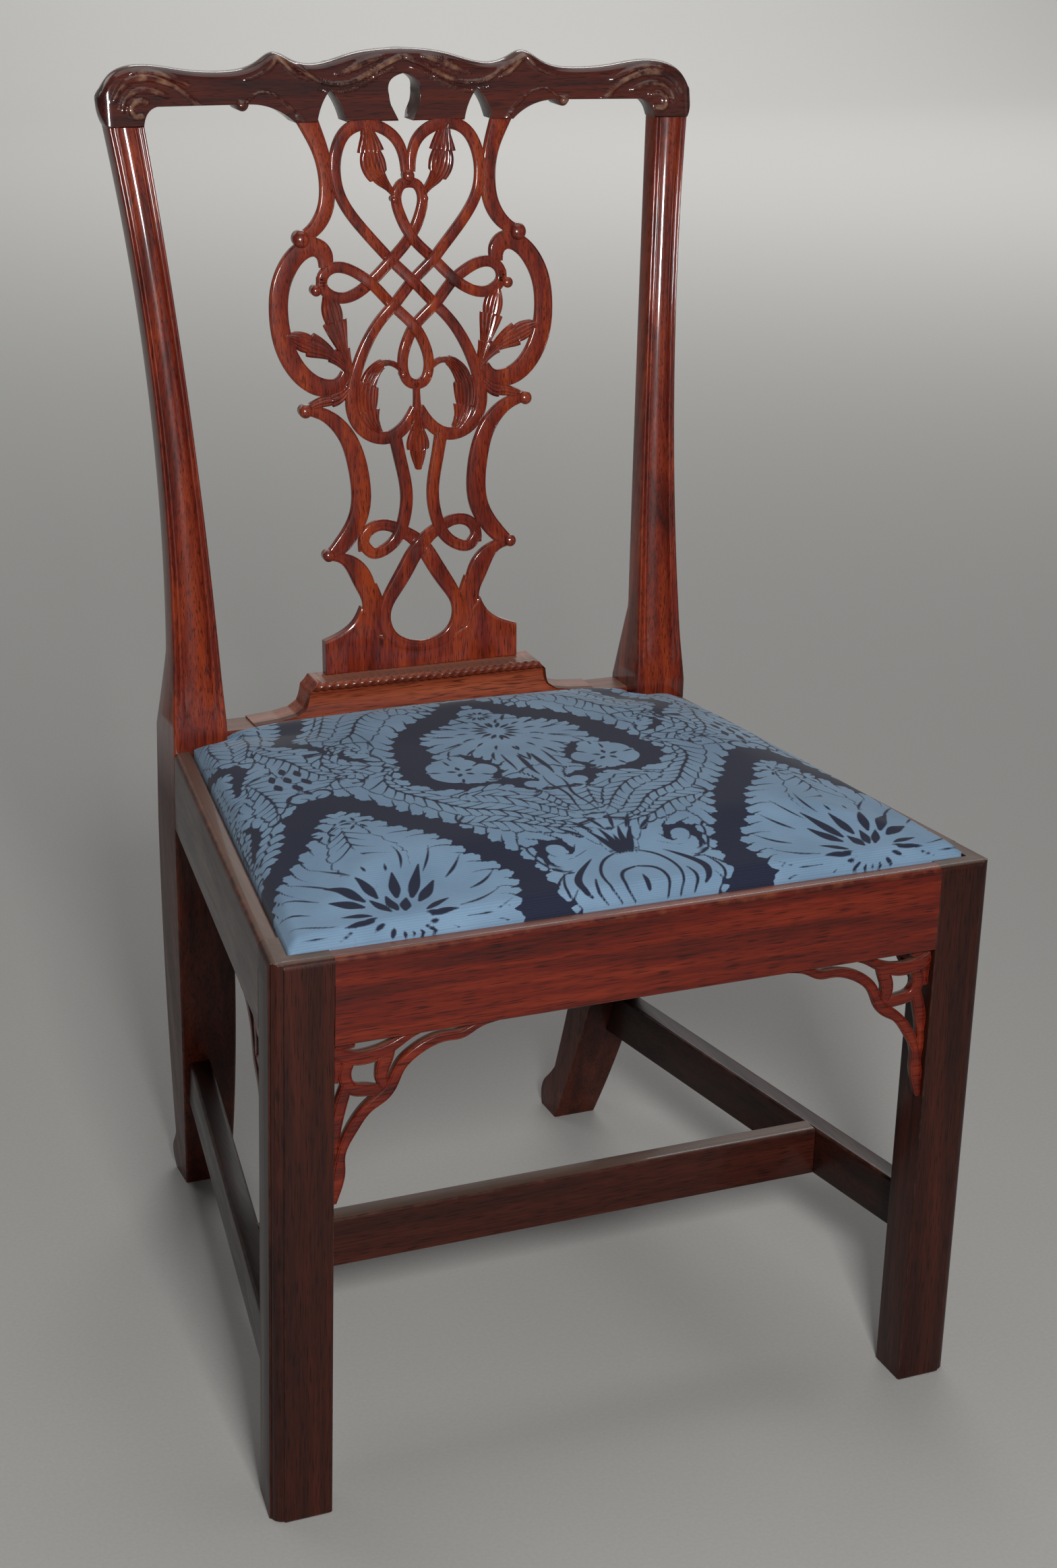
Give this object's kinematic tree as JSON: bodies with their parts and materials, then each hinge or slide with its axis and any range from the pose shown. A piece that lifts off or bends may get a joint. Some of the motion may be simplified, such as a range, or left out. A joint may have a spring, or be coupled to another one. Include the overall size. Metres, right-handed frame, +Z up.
{
  "type": "lattice back side chair",
  "caption": "Wooden side chair with a pierced, interlaced splat under a shaped crest rail, straight legs joined by stretchers, and an upholstered drop-in seat that lifts out.",
  "frame": {"origin": "on the floor under the middle of the chair's bounding box", "axes": "+Z up, the front of the chair faces -Y, +X to the right as seen from the front"},
  "size_m": [0.552, 0.5364, 0.962],
  "materials": {
    "mahogany": "polished",
    "oak": "raw",
    "beech": "raw",
    "screw_steel": "satin",
    "tack_steel": "blued",
    "webbing": "woven",
    "canvas": "woven",
    "stuffing": "matt",
    "damask": "woven damask"
  },
  "bodies": {
    "frame": {"back_post_left": "mahogany", "back_post_right": "mahogany", "crest_rail": "mahogany", "splat": "mahogany", "shoe": "mahogany", "rear_seat_rail": "mahogany", "front_seat_rail": "mahogany", "side_seat_rail_left": "mahogany", "side_seat_rail_right": "mahogany", "front_leg_left": "mahogany", "front_leg_right": "mahogany", "side_stretcher_left": "mahogany", "side_stretcher_right": "mahogany", "cross_stretcher": "mahogany", "front_bracket_left": "mahogany", "front_bracket_right": "mahogany", "side_bracket_left": "mahogany", "side_bracket_right": "mahogany", "front_corner_block_left": "oak", "front_corner_block_right": "oak", "rear_corner_block_left": "oak", "rear_corner_block_right": "oak", "corner_block_screws": "screw_steel"},
    "seat": {"seat_frame_front": "beech", "seat_frame_rear": "beech", "seat_frame_left": "beech", "seat_frame_right": "beech", "webbing_crosswise": "webbing", "webbing_lengthwise": "webbing", "seat_canvas": "canvas", "seat_stuffing": "stuffing", "seat_cover": "damask", "cover_tacks": "tack_steel"}
  },
  "joints": [
    {"name": "seat_lift", "type": "slide", "parent": "frame", "child": "seat", "axis": [0, 0, 1], "range_m": [0, 0.15]}
  ]
}
